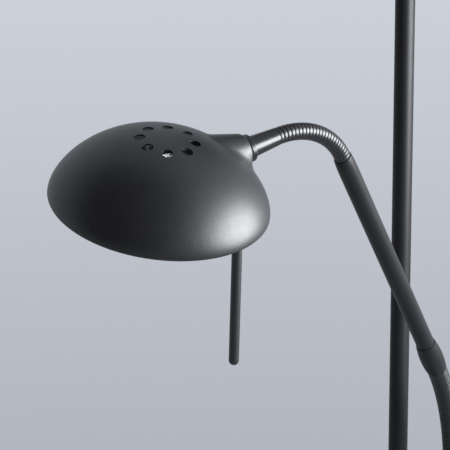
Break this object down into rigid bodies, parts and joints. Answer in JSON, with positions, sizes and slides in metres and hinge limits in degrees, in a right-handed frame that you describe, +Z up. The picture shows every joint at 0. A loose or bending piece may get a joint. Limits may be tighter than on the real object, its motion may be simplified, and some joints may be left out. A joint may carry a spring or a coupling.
{
  "type": "floor lamp with reading light",
  "caption": "Black floor lamp: round weighted base, slim sectional pole, open uplighter bowl, and a domed reading light with an aiming rod on an arm between ribbed flexible necks.",
  "frame": {"origin": "centre of the base's underside, on the floor", "axes": "+Z up along the pole, the reading arm reaches towards -Y, its neck stands beside the pole at +X"},
  "size_m": [0.28, 0.5963, 1.8146],
  "materials": {
    "black_coat": "satin",
    "neck_coat": "satin",
    "pad": "matte",
    "ballast": "matte",
    "grommet": "matte",
    "zinc_steel": "satin",
    "black_bracket": "satin",
    "black_plastic": "satin",
    "dimmer_plastic": "matte",
    "bright_aluminium": "polished",
    "porcelain": "satin",
    "clear_glass": "gloss",
    "opal_glass": "gloss",
    "nickel_cap": "satin"
  },
  "bodies": {
    "base": {"base_cover": "black_coat", "foot_collar": "black_coat", "pole_lower": "black_coat", "pole_middle": "black_coat", "pole_upper": "black_coat", "bowl_cup": "black_coat", "bowl": "black_coat", "lower_neck_root": "neck_coat", "base_pad": "pad", "base_weight": "ballast", "cord_grommet": "grommet", "foot_stud": "zinc_steel", "base_nut": "zinc_steel", "pole_coupler_lower": "zinc_steel", "pole_coupler_upper": "zinc_steel", "top_stud": "zinc_steel", "bowl_nut": "zinc_steel", "clamp_screw": "zinc_steel", "block_screws": "zinc_steel", "neck_bracket": "black_bracket", "block_front": "black_plastic", "block_rear": "black_plastic", "main_dimmer": "dimmer_plastic", "reading_dimmer": "dimmer_plastic", "globe_socket": "porcelain", "globe_glass": "opal_glass", "globe_cap": "nickel_cap"},
    "lower_neck_1": {"lower_neck_link_1": "neck_coat"},
    "lower_neck_2": {"lower_neck_link_2": "neck_coat"},
    "lower_neck_3": {"lower_neck_link_3": "neck_coat"},
    "lower_neck_4": {"lower_neck_link_4": "neck_coat"},
    "lower_neck_5": {"lower_neck_link_5": "neck_coat"},
    "arm": {"lower_neck_tip": "neck_coat", "arm_ferrule": "black_coat", "arm_tube": "black_coat", "arm_sleeve": "black_coat", "upper_neck_root": "neck_coat"},
    "upper_neck_1": {"upper_neck_link_1": "neck_coat"},
    "upper_neck_2": {"upper_neck_link_2": "neck_coat"},
    "upper_neck_3": {"upper_neck_link_3": "neck_coat"},
    "upper_neck_4": {"upper_neck_link_4": "neck_coat"},
    "upper_neck_5": {"upper_neck_link_5": "neck_coat"},
    "head": {"upper_neck_tip": "neck_coat", "head_ferrule": "black_coat", "head_stem": "zinc_steel", "head_collar": "black_coat", "collar_screw": "zinc_steel", "shade": "black_coat", "stem_nut": "zinc_steel", "lamp_strap": "zinc_steel", "reflector": "bright_aluminium", "capsule_holder": "porcelain", "holder_screws": "zinc_steel", "capsule_lamp": "clear_glass", "aim_rod": "black_coat", "rod_nut": "zinc_steel"},
    "main_knob": {"main_knob": "black_plastic"},
    "reading_knob": {"reading_knob": "black_plastic"}
  },
  "joints": [
    {"name": "lower_neck_tilt_1", "type": "hinge", "parent": "base", "child": "lower_neck_1", "pos_m": [0.055, -0.00029, 1.19116], "axis": [1, 0, 0], "range_deg": [-8, 12]},
    {"name": "lower_neck_sway_1", "type": "hinge", "parent": "lower_neck_1", "child": "lower_neck_2", "pos_m": [0.055, -0.00263, 1.21135], "axis": [0, -0.9851, -0.1719], "range_deg": [-12, 5]},
    {"name": "lower_neck_tilt_2", "type": "hinge", "parent": "lower_neck_2", "child": "lower_neck_3", "pos_m": [0.055, -0.00727, 1.23113], "axis": [1, 0, 0], "range_deg": [-8, 12]},
    {"name": "lower_neck_sway_2", "type": "hinge", "parent": "lower_neck_3", "child": "lower_neck_4", "pos_m": [0.055, -0.01415, 1.25025], "axis": [0, -0.9198, -0.3923], "range_deg": [-12, 5]},
    {"name": "lower_neck_tilt_3", "type": "hinge", "parent": "lower_neck_4", "child": "lower_neck_5", "pos_m": [0.055, -0.02319, 1.26846], "axis": [1, 0, 0], "range_deg": [-8, 12]},
    {"name": "lower_neck_sway_3", "type": "hinge", "parent": "lower_neck_5", "child": "arm", "pos_m": [0.055, -0.03426, 1.2855], "axis": [0, -0.8059, -0.592], "range_deg": [-12, 5]},
    {"name": "upper_neck_tilt_1", "type": "hinge", "parent": "arm", "child": "upper_neck_1", "pos_m": [0.05485, -0.22473, 1.51574], "axis": [0.891, -0.3498, -0.2894], "range_deg": [-12, 8]},
    {"name": "upper_neck_sway_1", "type": "hinge", "parent": "upper_neck_1", "child": "upper_neck_2", "pos_m": [0.05367, -0.23484, 1.52432], "axis": [-0.4343, -0.4709, -0.7679], "range_deg": [-12, 12]},
    {"name": "upper_neck_tilt_2", "type": "hinge", "parent": "upper_neck_2", "child": "upper_neck_3", "pos_m": [0.05134, -0.24619, 1.53088], "axis": [0.891, -0.3498, -0.2894], "range_deg": [-12, 8]},
    {"name": "upper_neck_sway_2", "type": "hinge", "parent": "upper_neck_3", "child": "upper_neck_4", "pos_m": [0.04797, -0.25833, 1.53518], "axis": [-0.3501, -0.1235, -0.9286], "range_deg": [-12, 12]},
    {"name": "upper_neck_tilt_3", "type": "hinge", "parent": "upper_neck_4", "child": "upper_neck_5", "pos_m": [0.04369, -0.27079, 1.53704], "axis": [0.891, -0.3498, -0.2894], "range_deg": [-12, 8]},
    {"name": "upper_neck_sway_3", "type": "hinge", "parent": "upper_neck_5", "child": "head", "pos_m": [0.03865, -0.28309, 1.5364], "axis": [-0.2121, 0.2429, -0.9466], "range_deg": [-12, 12]},
    {"name": "main_dimmer_turn", "type": "hinge", "parent": "base", "child": "main_knob", "pos_m": [0.0135, -0.022, 1.162], "axis": [0, 1, 0], "range_deg": [0, 270]},
    {"name": "reading_dimmer_turn", "type": "hinge", "parent": "base", "child": "reading_knob", "pos_m": [0.0415, -0.022, 1.162], "axis": [0, 1, 0], "range_deg": [0, 270]}
  ],
  "couplings": [
    {"joint": "lower_neck_tilt_2", "follows": "lower_neck_tilt_1", "ratio": 1},
    {"joint": "lower_neck_sway_2", "follows": "lower_neck_sway_1", "ratio": 1},
    {"joint": "lower_neck_tilt_3", "follows": "lower_neck_tilt_1", "ratio": 1},
    {"joint": "lower_neck_sway_3", "follows": "lower_neck_sway_1", "ratio": 1},
    {"joint": "upper_neck_tilt_2", "follows": "upper_neck_tilt_1", "ratio": 1},
    {"joint": "upper_neck_sway_2", "follows": "upper_neck_sway_1", "ratio": 1},
    {"joint": "upper_neck_tilt_3", "follows": "upper_neck_tilt_1", "ratio": 1},
    {"joint": "upper_neck_sway_3", "follows": "upper_neck_sway_1", "ratio": 1}
  ]
}
